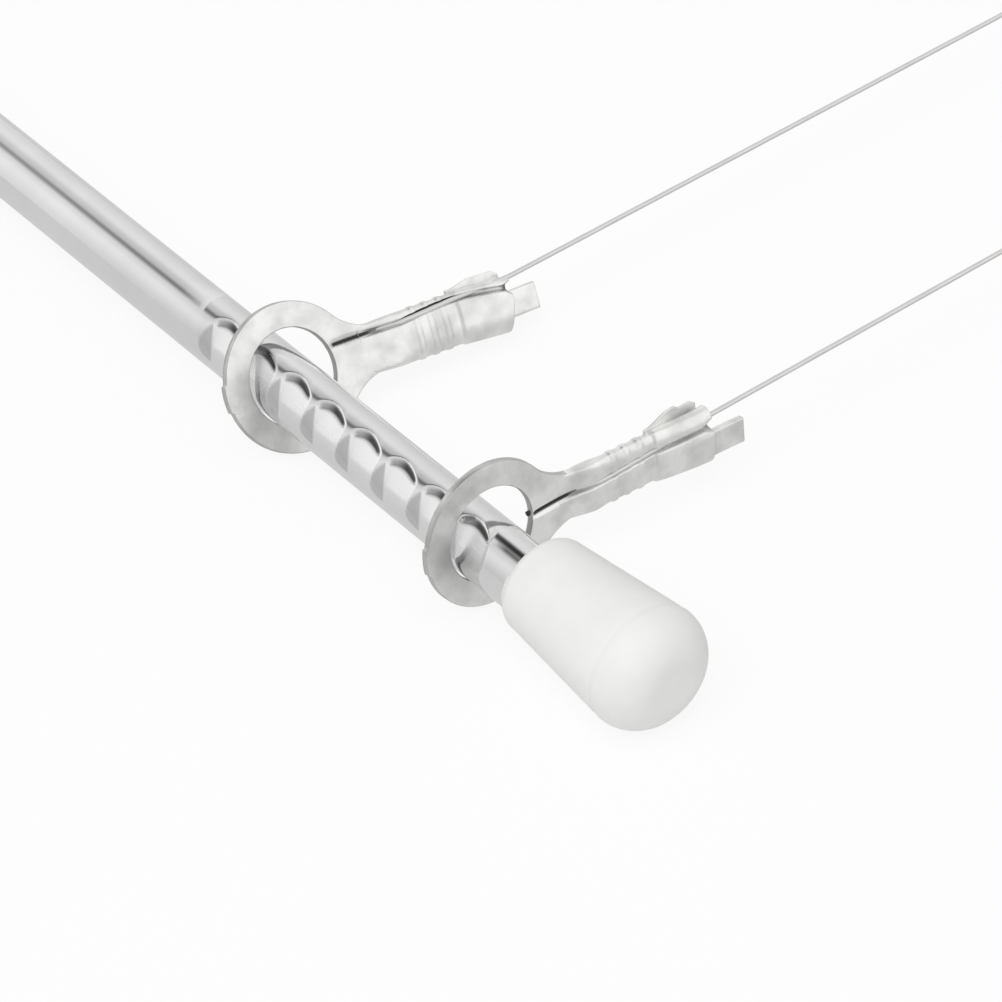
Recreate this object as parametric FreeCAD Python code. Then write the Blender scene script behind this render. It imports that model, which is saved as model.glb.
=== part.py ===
"""Two-wire cake leveler, lying flat on a table.

A bent tube makes the bow. Each leg has a row of notches on its outer side and a rubber foot on its end.
Two cutting wires run from leg to leg, each end crimped in a stamped lug whose ring goes round the leg.

X runs along the wires, +Y from the feet to the top of the bow, and Z is up from the table.
The origin is in the middle of the leveler's length and width, on the table. Sizes are in millimetres.
"""
import FreeCAD
import Part

import math
import os

from FreeCAD import Placement, Rotation, Vector

X_AXIS = Vector(1, 0, 0)
Y_AXIS = Vector(0, 1, 0)
Z_AXIS = Vector(0, 0, 1)
CENTRE = Vector(0, 0, 0)

# Bow
LEG_SPACING = 310.0          # between the legs' centre lines
BOW_HEIGHT = 185.0           # from the soles of the feet to the top of the bow
TUBE_OUTER = 8.0             # outer diameter of the tube
TUBE_WALL = 1.0
CORNER_RADIUS = 42.0         # of the tube's centre line at the two upper corners

# Notches pressed into the outer side of each leg
NOTCH_COUNT = 8
NOTCH_PITCH = 6.4
NOTCH_DEPTH = 1.15
NOTCH_STEEP = 1.7            # length along the leg of the wall that faces the foot
NOTCH_RAMP = 4.4             # length along the leg of the wall that climbs towards the foot
NOTCH_LEAN = 28.0            # degrees that the row is turned up from straight outwards
NOTCH_SKEW = 24.0            # degrees that each notch's upper end is turned towards the bow
NOTCH_START = 31.7           # from the sole to the bottom of the lowest notch

# Rubber feet
FOOT_LENGTH = 22.0
FOOT_WALL = 0.9              # thinnest rubber round the tube, at the back rim
FOOT_SHIFT = 1.0             # the foot's own centre line, inwards from the leg's
FOOT_SWELL = 1.55            # how much larger the foot's radius is near the sole
FOOT_SOLE = 6.0              # solid rubber between the tube's end and the sole
FOOT_FLAT = 4.0              # diameter of the flat sole inside its rounded rim
FOOT_BACK_ROUND = 1.6        # rounding of the back rim

# Lugs, stamped from one sheet
SHEET = 0.9
RING_SLACK = 3.4             # hole diameter less the tube's diameter
RING_BAND = 3.05             # width of the metal round the hole
RING_CLEARANCE = 0.12        # left between the hole's edge and the tube
STUB_WIDTH = 3.2             # cut-off stub at the ring's outer end
STUB_RISE = 0.25
NECK_WIDTH = 5.6             # where the neck meets the crimp
NECK_ROUND = 7.0             # radius of the hollow flanks between ring and neck
THROAT = 2.7                 # length over which the neck turns into the crimp
CRIMP_LENGTH = 7.6           # barrel squeezed flat, with the pressed ribs
CRIMP_HEIGHT = 1.9           # of the barrel there, over its underside
CRIMP_FLAT = 4.4             # how much wider than high it is
RIB_COUNT = 3
RIB_WIDTH = 0.9
RIB_RISE = 0.15
WING_LENGTH = 7.1            # rounder end of the barrel behind the crimp
WING_STEP = 0.2              # how far that end stands out all round
WING_HEIGHT = 3.0            # of the barrel at the tail, without that step
WING_FLAT = 3.8              # how much wider than high it is there
SEAM = 0.25                  # width of the seam between the barrel's two edges
TAIL_SEAM = 1.6              # height of the seam above the lug's middle at the tail
TAB_LENGTH = 5.3             # cut-off tab past the barrel
TAB_WIDTH = 3.4
TAB_DROP = 1.8               # how far below the lug's middle the tab is

# Wires
WIRE = 0.6                   # diameter
WIRE_OVERHANG = 0.2          # cut end past the edge of the ring's hole
UPPER_FROM_TOP = 2           # notch that the upper wire hangs in, counted from the top of the row
LOWER_FROM_FOOT = 1          # notch that the lower wire hangs in, counted from the foot
UPPER_SEAT = -2.5            # place of the ring along the leg, from the bottom of its notch
LOWER_SEAT = -0.4
UPPER_LIFT = 0.0             # share of the ring's play on the tube that its centre is lifted by
LOWER_LIFT = 0.63
UPPER_LEAN = 0.8             # share of the greatest lean that the play then leaves the ring
LOWER_LEAN = 0.4
UPPER_HANG = 7.2             # degrees that a lug hangs down about its ring
LOWER_HANG = 3.5
UPPER_SEAM = 1.9             # height of a lug's seam above its middle, up to where the crimp starts
LOWER_SEAM = -0.25

# Worked out from the sizes above
TUBE_RADIUS = TUBE_OUTER / 2
RING_HOLE = TUBE_OUTER + RING_SLACK
RING_RADIUS = RING_HOLE / 2 + RING_BAND
WIRE_RADIUS = WIRE / 2
WIRE_RISE = SHEET / 2 + WIRE_RADIUS
FOOT_BACK = TUBE_RADIUS + FOOT_SHIFT + FOOT_WALL
FOOT_FRONT = FOOT_BACK + FOOT_SWELL
LEG_X = LEG_SPACING / 2
SOLE_Y = -BOW_HEIGHT / 2
TUBE_END_Y = SOLE_Y + FOOT_SOLE
BOW_TOP_Y = BOW_HEIGHT / 2 - TUBE_RADIUS
BEND_Y = BOW_TOP_Y - CORNER_RADIUS
NECK_END = math.sqrt((RING_RADIUS + NECK_ROUND) ** 2 - (NECK_WIDTH / 2 + NECK_ROUND) ** 2)
CRIMP_START = NECK_END + THROAT
WING_START = CRIMP_START + CRIMP_LENGTH
TAIL = WING_START + WING_LENGTH


class RingSeat:
    """How one wire's rings hang on the legs: their height, lean, pull and place along the leg."""

    def __init__(self, notch, seat, lift_share, lean_share, hang, seam):
        reach = RING_HOLE / 2 - RING_CLEARANCE
        half = SHEET / 2
        self.hang = hang
        self.seam = seam
        self.y = notch_y(notch) + seat
        self.lift = lift_share * (reach - TUBE_RADIUS)
        greatest = math.acos((TUBE_RADIUS + self.lift) / math.hypot(reach, half)) - math.atan2(half, reach)
        self.lean = lean_share * greatest
        self.drop = RING_RADIUS * math.cos(self.lean) + half * math.sin(self.lean) - self.lift
        self.pull = ring_pull(reach, self.lift, self.lean)

    def place(self):
        """Place of the left ring: X down the lug, Z out of the ring towards the feet."""
        middle = Vector(-LEG_X + self.pull, self.y, LEG_Z + self.lift)
        leant = Rotation(X_AXIS, 90 - math.degrees(self.lean))
        return Placement(middle, leant * Rotation(Z_AXIS, -self.hang))


def ring_pull(reach, lift, lean):
    """How far the wire pulls a ring in from its leg before the hole's edge would meet the tube.

    Points round the tube are looked up in the plane of both faces of the leaning ring.
    """
    points = 720
    pulls = []
    for number in range(points):
        angle = 2 * math.pi * number / points
        for face in (-SHEET / 2, SHEET / 2):
            up = (TUBE_RADIUS * math.sin(angle) - lift - face * math.sin(lean)) / math.cos(lean)
            pulls.append(TUBE_RADIUS * math.cos(angle) + math.sqrt(reach ** 2 - up ** 2))
    return min(pulls)


def notch_y(number):
    """Place along the leg of the bottom of a notch, counted from the foot."""
    return SOLE_Y + NOTCH_START + (number - 1) * NOTCH_PITCH


RING_SEATS = {
    "upper": RingSeat(NOTCH_COUNT + 1 - UPPER_FROM_TOP, UPPER_SEAT, UPPER_LIFT, UPPER_LEAN,
                      UPPER_HANG, UPPER_SEAM),
    "lower": RingSeat(LOWER_FROM_FOOT, LOWER_SEAT, LOWER_LIFT, LOWER_LEAN, LOWER_HANG, LOWER_SEAM),
}
LEG_Z = max([FOOT_FRONT] + [seat.drop for seat in RING_SEATS.values()])


def mirrored(shape):
    """The same piece on the other side of the leveler."""
    return shape.mirror(CENTRE, X_AXIS)


def bent_rod(radius, overrun):
    """Round bar along the bow's centre line, running past both leg ends by overrun."""
    corner_x = LEG_X - CORNER_RADIUS
    bend = CORNER_RADIUS * math.sqrt(0.5)
    foot_y = TUBE_END_Y - overrun
    left = [Vector(-LEG_X, foot_y, LEG_Z), Vector(-LEG_X, BEND_Y, LEG_Z),
            Vector(-corner_x - bend, BEND_Y + bend, LEG_Z), Vector(-corner_x, BOW_TOP_Y, LEG_Z)]
    right = [Vector(-p.x, p.y, p.z) for p in left]
    path = Part.Wire([
        Part.LineSegment(left[0], left[1]).toShape(),
        Part.Arc(left[1], left[2], left[3]).toShape(),
        Part.LineSegment(left[3], right[3]).toShape(),
        Part.Arc(right[3], right[2], right[1]).toShape(),
        Part.LineSegment(right[1], right[0]).toShape(),
    ])
    section = Part.Wire([Part.makeCircle(radius, left[0], Y_AXIS)])
    return path.makePipeShell([section], True, False)


def notch_wedges(wall):
    """Wedges that press the left leg's notches, grown by wall on every side.

    A wedge has a steep side that faces the foot and a long ramp that climbs to the next notch.
    """
    steep_slope = math.hypot(NOTCH_STEEP, NOTCH_DEPTH)
    ramp_slope = math.hypot(NOTCH_RAMP, NOTCH_DEPTH)
    sunk = wall * (steep_slope + ramp_slope) / (NOTCH_STEEP + NOTCH_RAMP)
    shift = (wall * steep_slope - NOTCH_STEEP * sunk) / NOTCH_DEPTH
    tip = TUBE_RADIUS - NOTCH_DEPTH - sunk
    top = TUBE_OUTER
    rise = (top - tip) / NOTCH_DEPTH
    lean = math.radians(NOTCH_LEAN)
    outwards = Vector(-math.cos(lean), 0, math.sin(lean))
    across = Vector(math.sin(lean), math.tan(math.radians(NOTCH_SKEW)), math.cos(lean))
    wedges = []
    for number in range(1, NOTCH_COUNT + 1):
        middle = Vector(-LEG_X, notch_y(number) + shift, LEG_Z)
        corners = [middle + outwards * tip,
                   middle + outwards * top + Y_AXIS * (NOTCH_STEEP * rise),
                   middle + outwards * top - Y_AXIS * (NOTCH_RAMP * rise)]
        face = Part.Face(Part.makePolygon(corners + corners[:1]))
        face.translate(across * -TUBE_OUTER)
        wedges.append(face.extrude(across * (2 * TUBE_OUTER)))
    return wedges


def bow_frame():
    """Bent tube, its wall pressed in at every notch and left whole."""
    outer = bent_rod(TUBE_RADIUS, 0)
    bore = bent_rod(TUBE_RADIUS - TUBE_WALL, TUBE_WALL)
    for wedge in notch_wedges(0):
        outer = outer.cut(wedge).cut(mirrored(wedge))
    for wedge in notch_wedges(TUBE_WALL):
        bore = bore.cut(wedge).cut(mirrored(wedge))
    return outer.cut(bore)


def left_foot():
    """Tapered cap with rounded ends and a small flat sole.

    The tube goes into a blind socket off its centre.
    """
    flat = FOOT_FLAT / 2
    sole_round = FOOT_FRONT - flat
    back_flat = FOOT_BACK - FOOT_BACK_ROUND
    back_turn = FOOT_LENGTH - FOOT_BACK_ROUND
    half = math.sqrt(0.5)

    def at(radius, height):
        return Vector(radius, height, 0)

    def quarter(middle_radius, middle_height, radius, side):
        """Quarter round outwards from a middle point: from the sole side or from the back side."""
        ends = [at(middle_radius, middle_height + side * radius), at(middle_radius + radius, middle_height)]
        bulge = at(middle_radius + radius * half, middle_height + side * radius * half)
        return Part.Arc(ends[0], bulge, ends[1]).toShape()

    lines = [
        (at(0, 0), at(flat, 0)),
        (at(FOOT_FRONT, sole_round), at(FOOT_BACK, back_turn)),
        (at(back_flat, FOOT_LENGTH), at(0, FOOT_LENGTH)),
        (at(0, FOOT_LENGTH), at(0, 0)),
    ]
    edges = [Part.LineSegment(start, end).toShape() for start, end in lines]
    edges.append(quarter(flat, sole_round, sole_round, -1))
    edges.append(quarter(back_flat, back_turn, FOOT_BACK_ROUND, 1))
    outline = Part.Wire(Part.__sortEdges__(edges))
    foot = Part.Face(outline).revolve(CENTRE, Y_AXIS, 360)
    foot.translate(Vector(-LEG_X + FOOT_SHIFT, SOLE_Y, LEG_Z))
    socket = Part.makeCylinder(TUBE_RADIUS, FOOT_LENGTH, Vector(-LEG_X, TUBE_END_Y, LEG_Z), Y_AXIS)
    return foot.cut(socket)


def lug_plate():
    """Flat ring and neck. The neck's flanks are hollow arcs that touch the ring."""
    flank = Vector(NECK_END, NECK_WIDTH / 2 + NECK_ROUND, 0)
    end = Vector(NECK_END, NECK_WIDTH / 2, 0)
    touch = flank * (RING_RADIUS / flank.Length)
    halfway = (end - flank) + (touch - flank)
    middle = flank + halfway * (NECK_ROUND / halfway.Length)
    lower = [Vector(p.x, -p.y, 0) for p in (end, middle, touch)]
    outline = Part.Wire([
        Part.LineSegment(lower[0], end).toShape(),
        Part.Arc(end, middle, touch).toShape(),
        Part.Arc(touch, Vector(-RING_RADIUS, 0, 0), lower[2]).toShape(),
        Part.Arc(lower[2], lower[1], lower[0]).toShape(),
    ])
    plate = Part.Face(outline)
    plate.translate(Z_AXIS * (-SHEET / 2))
    plate = plate.extrude(Z_AXIS * SHEET)
    stub_x = -(RING_RADIUS + STUB_RISE)
    stub = Part.makeBox(STUB_RISE + RING_BAND / 2, STUB_WIDTH, SHEET,
                        Vector(stub_x, -STUB_WIDTH / 2, -SHEET / 2))
    hole = Part.makeCylinder(RING_HOLE / 2, 2 * SHEET, Vector(0, 0, -SHEET))
    return plate.fuse(stub).cut(hole)


def barrel_section(along, height, flat, grow=0):
    """Outline across the barrel at one place: flat above and below, with round flanks, grown all round.

    With no growth its lower side is the sheet's underside.
    """
    half = flat / 2
    middle = (height - SHEET) / 2
    radius = height / 2 + grow
    low, high = middle - radius, middle + radius

    def at(y, z):
        return Vector(along, y, z)

    return Part.Wire([
        Part.LineSegment(at(-half, low), at(half, low)).toShape(),
        Part.Arc(at(half, low), at(half + radius, middle), at(half, high)).toShape(),
        Part.LineSegment(at(half, high), at(-half, high)).toShape(),
        Part.Arc(at(-half, high), at(-half - radius, middle), at(-half, low)).toShape(),
    ])


def lug_throat():
    """Neck's floor carried on to the crimp, under a slope that climbs to the crimp's height."""
    start, half = NECK_END - THROAT, NECK_WIDTH / 2
    top = CRIMP_HEIGHT - RIB_RISE - SHEET / 2
    corners = [Vector(start, -half, -SHEET / 2), Vector(CRIMP_START, -half, -SHEET / 2),
               Vector(CRIMP_START, -half, top), Vector(start, -half, SHEET / 2)]
    return Part.Face(Part.makePolygon(corners + corners[:1])).extrude(Y_AXIS * NECK_WIDTH)


def lug_crimp():
    """Flat part of the barrel with its pressed ribs."""
    height = CRIMP_HEIGHT - RIB_RISE
    crimp = Part.Face(barrel_section(CRIMP_START, height, CRIMP_FLAT)).extrude(X_AXIS * CRIMP_LENGTH)
    for number in range(1, RIB_COUNT + 1):
        along = CRIMP_START + number * CRIMP_LENGTH / (RIB_COUNT + 1) - RIB_WIDTH / 2
        rib = Part.Face(barrel_section(along, height, CRIMP_FLAT, RIB_RISE)).extrude(X_AXIS * RIB_WIDTH)
        crimp = crimp.fuse(rib)
    return crimp


def lug_wings():
    """Rounder end of the barrel, growing towards the tail, where it is open."""
    wings = Part.makeLoft([barrel_section(WING_START, CRIMP_HEIGHT, CRIMP_FLAT, WING_STEP),
                           barrel_section(TAIL, WING_HEIGHT, WING_FLAT, WING_STEP)], True, True)
    inside = WING_STEP - SHEET
    halfway = barrel_section(TAIL - WING_LENGTH / 2, (CRIMP_HEIGHT + WING_HEIGHT) / 2,
                             (CRIMP_FLAT + WING_FLAT) / 2, inside)
    hollow = Part.makeLoft([halfway, barrel_section(TAIL, WING_HEIGHT, WING_FLAT, inside)], True, True)
    return wings.cut(hollow)


def seam_slot(seam):
    """Slot between the barrel's two edges, down to the wire that lies in it."""
    side = Y_AXIS * (SEAM / 2)
    start = Vector(CRIMP_START, seam, WIRE_RISE)
    end = Vector(TAIL, TAIL_SEAM, WIRE_RISE)
    corners = [start - side, end - side, end + side, start + side]
    return Part.Face(Part.makePolygon(corners + corners[:1])).extrude(Z_AXIS * WING_HEIGHT)


def lug_tab():
    """Cut-off end of the sheet that sticks out of the barrel's floor."""
    corner = Vector(TAIL - SHEET, -TAB_DROP - TAB_WIDTH / 2, -SHEET / 2)
    return Part.makeBox(SHEET + TAB_LENGTH, TAB_WIDTH, SHEET, corner)


def left_lug(seat):
    """One lug with its ring round the left leg."""
    barrel = lug_throat().fuse([lug_crimp(), lug_wings()]).cut(seam_slot(seat.seam))
    lug = lug_plate().fuse([barrel, lug_tab()]).removeSplitter()
    lug.Placement = seat.place()
    return lug


def cutting_wire(seat):
    """Wire that lies on each lug's neck and in its seam, and runs straight from lug to lug."""
    start = Vector(RING_HOLE / 2 - WIRE_OVERHANG, seat.seam, WIRE_RISE)
    bend = Vector(CRIMP_START, seat.seam, WIRE_RISE)
    exit_point = Vector(TAIL, TAIL_SEAM, (WING_HEIGHT - SHEET) / 2)
    ring = seat.place()
    left = [ring.multVec(point) for point in (start, bend, exit_point)]
    points = left + [Vector(-p.x, p.y, p.z) for p in reversed(left)]
    path = Part.makePolygon(points)
    section = Part.Wire([Part.makeCircle(WIRE_RADIUS, points[0], points[1] - points[0])])
    sharp_corners = 1
    return path.makePipeShell([section], True, False, sharp_corners)


def main():
    foot = left_foot()
    nodes = {"bow_frame": bow_frame(), "left_foot": foot, "right_foot": mirrored(foot)}
    for name, seat in RING_SEATS.items():
        lug = left_lug(seat)
        nodes[name + "_wire"] = cutting_wire(seat)
        nodes[name + "_left_lug"] = lug
        nodes[name + "_right_lug"] = mirrored(lug)
    os.makedirs("parts", exist_ok=True)
    for name, shape in nodes.items():
        shape.exportStep("parts/" + name + ".step")


main()
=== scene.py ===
"""Looks of a two-wire cake leveler, fitted round its packed frame.

Every new surface is a grid of points worked out with numpy: rings of points carried along a path.
X runs along the wires, +Y from the feet to the top of the bow, and Z is up. Lengths are in metres.
"""
import math

import bpy
import numpy as np
from bpy.props import FloatProperty, FloatVectorProperty, IntProperty, PointerProperty
from mathutils import Matrix, Vector


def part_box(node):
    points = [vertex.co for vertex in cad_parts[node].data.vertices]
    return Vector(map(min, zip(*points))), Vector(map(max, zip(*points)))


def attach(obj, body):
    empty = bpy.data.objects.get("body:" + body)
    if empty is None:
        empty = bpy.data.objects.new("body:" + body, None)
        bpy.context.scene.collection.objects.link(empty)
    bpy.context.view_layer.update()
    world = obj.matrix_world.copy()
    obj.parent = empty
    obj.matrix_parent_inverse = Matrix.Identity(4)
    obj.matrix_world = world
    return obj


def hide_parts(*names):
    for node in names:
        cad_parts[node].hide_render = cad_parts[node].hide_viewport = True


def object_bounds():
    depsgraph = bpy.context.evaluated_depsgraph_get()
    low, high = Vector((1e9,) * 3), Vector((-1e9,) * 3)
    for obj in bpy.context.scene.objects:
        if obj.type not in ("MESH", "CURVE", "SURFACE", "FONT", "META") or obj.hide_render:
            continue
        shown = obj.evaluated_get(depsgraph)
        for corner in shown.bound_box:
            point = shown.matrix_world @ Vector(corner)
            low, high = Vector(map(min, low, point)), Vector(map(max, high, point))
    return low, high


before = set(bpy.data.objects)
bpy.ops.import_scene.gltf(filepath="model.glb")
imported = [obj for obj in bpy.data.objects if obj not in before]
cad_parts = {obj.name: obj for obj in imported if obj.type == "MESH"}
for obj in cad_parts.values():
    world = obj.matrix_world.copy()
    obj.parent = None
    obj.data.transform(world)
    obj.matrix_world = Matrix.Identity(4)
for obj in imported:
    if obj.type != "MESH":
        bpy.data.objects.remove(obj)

bl_info = {
    "name": "Cake leveler looks",
    "version": (1, 0, 0),
    "blender": (4, 5, 0),
    "location": "3D View > Sidebar > Leveler",
    "description": "Notched bow, rubber feet, crimped lugs and cutting wires of a cake leveler",
    "category": "Object",
}

CAD_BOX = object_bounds()
MM = 0.001
UP = np.array([0, 0, 1])
TO_TOP = np.array([0, 1, 0])
MIRROR = np.array([-1, 1, 1])
SIDES = (("left", -1), ("right", 1))

# Sizes taken from the frame
BOW_LOW, BOW_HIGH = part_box("bow_frame")
FOOT_LOW, FOOT_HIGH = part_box("left_foot")
TUBE_RADIUS = (BOW_HIGH.z - BOW_LOW.z) / 2
LEG_Z = (BOW_HIGH.z + BOW_LOW.z) / 2
LEG_X = BOW_HIGH.x - TUBE_RADIUS
TOP_Y = BOW_HIGH.y - TUBE_RADIUS
TUBE_END_Y = BOW_LOW.y
SOLE_Y = FOOT_LOW.y
FOOT_LENGTH = FOOT_HIGH.y - FOOT_LOW.y
FOOT_RADIUS = (FOOT_HIGH.z - FOOT_LOW.z) / 2
FOOT_X = (FOOT_HIGH.x + FOOT_LOW.x) / 2

# How each wire's lugs hang on the legs and are crimped
SEATS = {
    "upper": {
        "ring_y": -24.9 * MM,
        "pull": 1.4279 * MM,
        "lift": 0,
        "lean": math.radians(31.828),
        "hang": math.radians(7.2),
        "seam": 1.9 * MM,
        "seam_rise": 15.03 * MM,
        "seam_bow": 0.6 * MM,
        "trim": 0.8 * MM,
        "slant": 1.6 * MM,
        "leaf_rise": 0.65 * MM,
        "leaf_dip": 0,
        "tab_length": 3.8 * MM,
        "tab_drop": 0.75 * MM,
        "exit_rise": 1.1 * MM,
    },
    "lower": {
        "ring_y": -61.2 * MM,
        "pull": 1.122 * MM,
        "lift": 0.9954 * MM,
        "lean": math.radians(8.8884),
        "hang": math.radians(3.5),
        "seam": -0.25 * MM,
        "seam_rise": 6 * MM,
        "seam_bow": 0,
        "trim": 0,
        "slant": 0,
        "leaf_rise": 0.95 * MM,
        "leaf_dip": 0.5 * MM,
        "tab_length": 6 * MM,
        "tab_drop": 2.5 * MM,
        "exit_rise": 0.8 * MM,
    },
}

# Steps of the surface grids along the pieces
LEG_STEPS = 16
NOTCH_STEPS = 31
BEND_STEPS = 40
TOP_STEPS = 8
SOLE_STEPS = 7
QUARTER_STEPS = 40
TAPER_STEPS = 58
FACE_STEPS = 6
MOUTH_STEPS = 5
RING_STEPS = 460
BAND_STEPS = 16
BARREL_STEPS = 230
LINING_STEPS = 26
TAB_STEPS = 24
LEAF_STEPS = 60
EASE_STEPS = 9

# Points of the surface grids round the pieces
TUBE_POINTS = 140
FOOT_POINTS = 128
BARREL_POINTS = 230
STRIP_POINTS = 48
WIRE_POINTS = 28


def length(name, description, default):
    """A length that a user may change."""
    return FloatProperty(name=name, description=description, default=default, unit="LENGTH", precision=5)


def angle(name, description, degrees):
    """An angle that a user may change."""
    return FloatProperty(name=name, description=description, default=math.radians(degrees), subtype="ANGLE")


def share(name, description, default):
    """A share from 0 to 1 that a user may change."""
    return FloatProperty(name=name, description=description, default=default,
                         min=0, max=1, subtype="FACTOR")


def amount(name, description, default, unit="NONE"):
    """A plain amount that a user may change."""
    return FloatProperty(name=name, description=description, default=default, unit=unit)


def number(name, description, default):
    """A number of like things that a user may change."""
    return IntProperty(name=name, description=description, default=default, min=1)


def point(name, description, default):
    """A place that a user may change."""
    return FloatVectorProperty(name=name, description=description, default=default, subtype="TRANSLATION")


def colour(name, description, default):
    """A colour that a user may change."""
    return FloatVectorProperty(name=name, description=description, default=default,
                               min=0, max=1, subtype="COLOR")


class BowSizes(bpy.types.PropertyGroup):
    """The bent tube and the row of notches on each leg."""

    corner_radius: length("Corner radius", "Bend of the centre line at the two upper corners", 42 * MM)
    notch_count: number("Notches", "Notches on each leg", 8)
    notch_pitch: length("Notch pitch", "From one notch to the next", 6.4 * MM)
    notch_depth: length("Notch depth", "Under the tube's surface where a notch's two walls meet", 0.55 * MM)
    notch_steep: length("Steep wall", "Length along the leg of the wall that faces the foot", 2.3 * MM)
    notch_ramp: length("Ramp", "Length along the leg of the wall that climbs towards the foot", 5.4 * MM)
    notch_edge: angle("Notch edge", "Half of a notch's opening round the tube where its walls meet", 33)
    notch_arch: angle("Notch arch", "How much further round the ramp's upper edge reaches", 21)
    notch_tip: angle("Steep wall's tip", "How far the tip of the steep wall is turned down", 20)
    notch_lean: angle("Notch lean", "How far the row is turned up from straight outwards", 31)
    notch_skew: angle("Notch skew", "How far each notch's upper end is turned towards the bow", 24)
    skew_fade: length("Skew fade", "Length over which that skew fades out past the row", 10 * MM)
    notch_start: length("Notch start", "From the sole to the lowest notch", 31.95 * MM)
    notch_fullness: amount("Fullness", "How long the ramp stays deep: 1 is a plain slope", 1.5)
    lip_depth: length("Lip depth", "Groove under the ramp's upper edge", 0.28 * MM)
    lip_width: angle("Lip width", "Width of that groove round the tube", 15)
    edge_round: length("Edge rounding", "Softness of the notches' pressed edges", 0.07 * MM)
    notch_haze: share("Notch haze", "How matt the ramps are", 0.64)
    row_haze: share("Row haze", "How matt the skin above the row is, where the rings rub", 0.9)
    # Short dark streak painted on the tube by the foot: its turn, half width and length
    scuff_turn: angle("Scuff", "Turn of the short dark streak by the foot, up from straight outwards", 81)
    scuff_width: angle("Scuff width", "Half width of that streak round the tube", 6)
    scuff_length: length("Scuff length", "From the foot to the end of that streak", 5.6 * MM)


class FootSizes(bpy.types.PropertyGroup):
    """The rubber caps on the legs."""

    back_radius: length("Back radius", "Radius at the end where the tube goes in", 5.9 * MM)
    back_round: length("Back rounding", "Rounding of the back rim", 1.6 * MM)
    flat_radius: length("Flat radius", "Radius of the flat middle of the sole", 2.6 * MM)
    crease_depth: length("Crease depth", "Faint mould line where the rounded end starts", 0.1 * MM)
    crease_place: length("Crease place", "From the rounded end to that line", 0.6 * MM)
    crease_width: length("Crease width", "Half width of that line", 0.25 * MM)
    reach: length("Reach", "How far the soft back rim is pushed up the tube", 0.8 * MM)
    lip: length("Lip", "Rounded mouth where the tube goes in", 0.25 * MM)


class LugSizes(bpy.types.PropertyGroup):
    """The stamped lug that every wire end is crimped in."""

    sheet: length("Sheet", "Thickness of the sheet", 0.9 * MM)
    edge_round: length("Edge rounding", "Rounding of the stamped edges", 0.12 * MM)
    hole: length("Hole", "Diameter of the ring's hole", 11.4 * MM)
    band: length("Band", "Width of the metal round the hole", 3.05 * MM)
    stub_width: length("Stub width", "Cut-off stub on the ring's outer end", 3.2 * MM)
    stub_rise: length("Stub rise", "How far the stub stands out", 0.25 * MM)
    neck_width: length("Neck width", "Where the neck meets the crimp", 5.6 * MM)
    neck_round: length("Neck rounding", "Radius of the hollow flanks", 7 * MM)
    crease_depth: length("Crease depth", "Crease along the seam in the neck", 0.42 * MM)
    crease_width: length("Crease width", "Half width of that crease", 0.42 * MM)
    throat: length("Throat", "Length over which the neck turns into the crimp", 2.7 * MM)
    crimp_length: length("Crimp", "Length of the flattened barrel", 7.6 * MM)
    crimp_height: length("Crimp height", "Height of the flattened barrel", 1.9 * MM)
    crimp_width: length("Crimp width", "Width of the flattened barrel", 6.15 * MM)
    rib_count: number("Ribs", "Ribs pressed across the crimp", 3)
    rib_rise: length("Rib rise", "Height of a rib", 0.14 * MM)
    rib_width: length("Rib width", "Width of a rib along the barrel", 0.9 * MM)
    wing_length: length("Open end", "Length of the rounder end of the barrel", 7.6 * MM)
    wing_height: length("Open end height", "Height of the barrel at its tail", 3.4 * MM)
    wing_width: length("Open end width", "Width of the barrel at its tail", 7.2 * MM)
    wing_step: length("Open end step", "Step in the skin where the open end starts", 0.18 * MM)
    wall: length("Barrel wall", "Wall that shows at the open tail", 0.6 * MM)
    tail_seam: length("Seam at the tail", "Height of the seam above the lug's middle at the tail", 1.6 * MM)
    tab_width: length("Tab width", "Width of the cut-off tab", 3.2 * MM)
    # Painted shade along the seam of the barrel
    seam_dirt: share("Seam dirt", "How dark the seam is along the barrel", 0.3)
    # Painted shade on the ring's face where it hangs next to the leg: how dark, where and how wide
    rub: share("Rub mark", "How dark the grey mark is where the ring hangs on the leg", 0.4)
    rub_turn: angle("Rub mark's place", "Turn of that mark down from the ring's outer end", 4)
    rub_width: angle("Rub mark's width", "Half width of that mark round the ring", 36)


class WireSeat(bpy.types.PropertyGroup):
    """How one wire and its two lugs hang on the legs."""

    ring_y: length("Ring place", "Place of the ring's middle along the leg", 0)
    pull: length("Pull", "How far the ring's middle is inside the leg's centre line", 0)
    lift: length("Lift", "How far the ring's middle is above the leg's centre line", 0)
    lean: angle("Lean", "Lean of the ring about the wire's direction", 0)
    hang: angle("Hang", "How far the lug hangs down about its ring", 0)
    seam: length("Seam", "Height of the seam above the lug's middle, at the neck", 0)
    seam_rise: length("Seam rise", "Where the seam starts to climb, from the ring's middle", 0)
    seam_bow: length("Seam bow", "How far the seam is bowed up between the neck and the tail", 0)
    trim: length("Trim", "How much narrower the upper roll is at the tail", 0)
    slant: length("Slant", "How much shorter the lower roll is at the tail", 0)
    leaf_rise: length("Leaf", "How far the torn leaf stands up along the open end", 0)
    leaf_dip: length("Leaf dip", "How much lower the leaf is past its middle", 0)
    tab_length: length("Tab", "Cut-off tab past the barrel", 0)
    tab_drop: length("Tab drop", "How far below the lug's middle the tab is", 0)
    exit_rise: length("Exit", "How far above the seam the wire leaves the upper roll", 0)


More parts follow.
